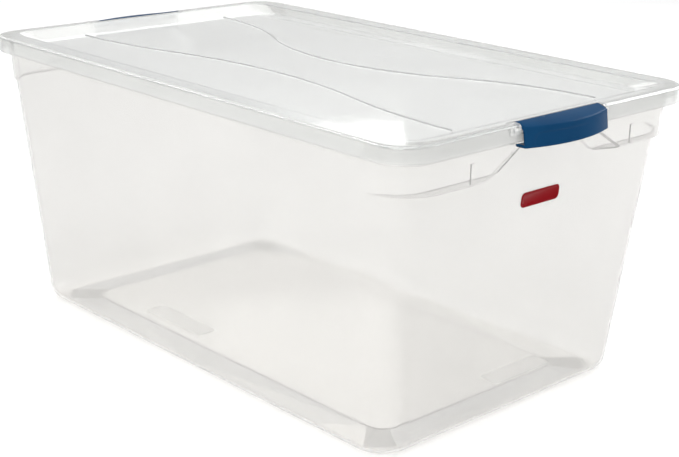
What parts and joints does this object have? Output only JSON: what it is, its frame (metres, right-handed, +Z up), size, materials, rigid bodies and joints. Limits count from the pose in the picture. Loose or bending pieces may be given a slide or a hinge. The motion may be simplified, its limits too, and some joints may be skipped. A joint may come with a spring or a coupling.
{
  "type": "latching storage tote",
  "caption": "Deep clear plastic storage tote with a recessed lift-off lid and a hinged latch on each short end.",
  "frame": {"origin": "centre of the footprint on the floor plane", "axes": "+Z up, +X along the length towards the end with the badge, +Y across the width"},
  "size_m": [0.7578, 0.45, 0.3387],
  "materials": {
    "clear_tub": "translucent polypropylene, lightly frosted, semi-gloss outside",
    "clear_lid": "translucent polypropylene, lightly frosted, semi-gloss outside",
    "latch_blue": "opaque navy blue moulded plastic, satin",
    "badge_red": "opaque dark red plastic, glossy"
  },
  "bodies": {
    "tub": {"tub": "clear_tub", "badge": "badge_red"},
    "lid": {"lid": "clear_lid"},
    "latch_near": {"latch_near": "latch_blue"},
    "latch_far": {"latch_far": "latch_blue"}
  },
  "joints": [
    {"name": "lid_lift", "type": "slide", "parent": "tub", "child": "lid", "axis": [0, 0, 1], "range_m": [0, 0.18]},
    {"name": "latch_near_hinge", "type": "hinge", "parent": "lid", "child": "latch_near", "pos_m": [0.3553, 0, 0.3349], "axis": [0, -1, 0], "range_deg": [0, 100]},
    {"name": "latch_far_hinge", "type": "hinge", "parent": "lid", "child": "latch_far", "pos_m": [-0.3553, 0, 0.3349], "axis": [0, 1, 0], "range_deg": [0, 100]}
  ]
}
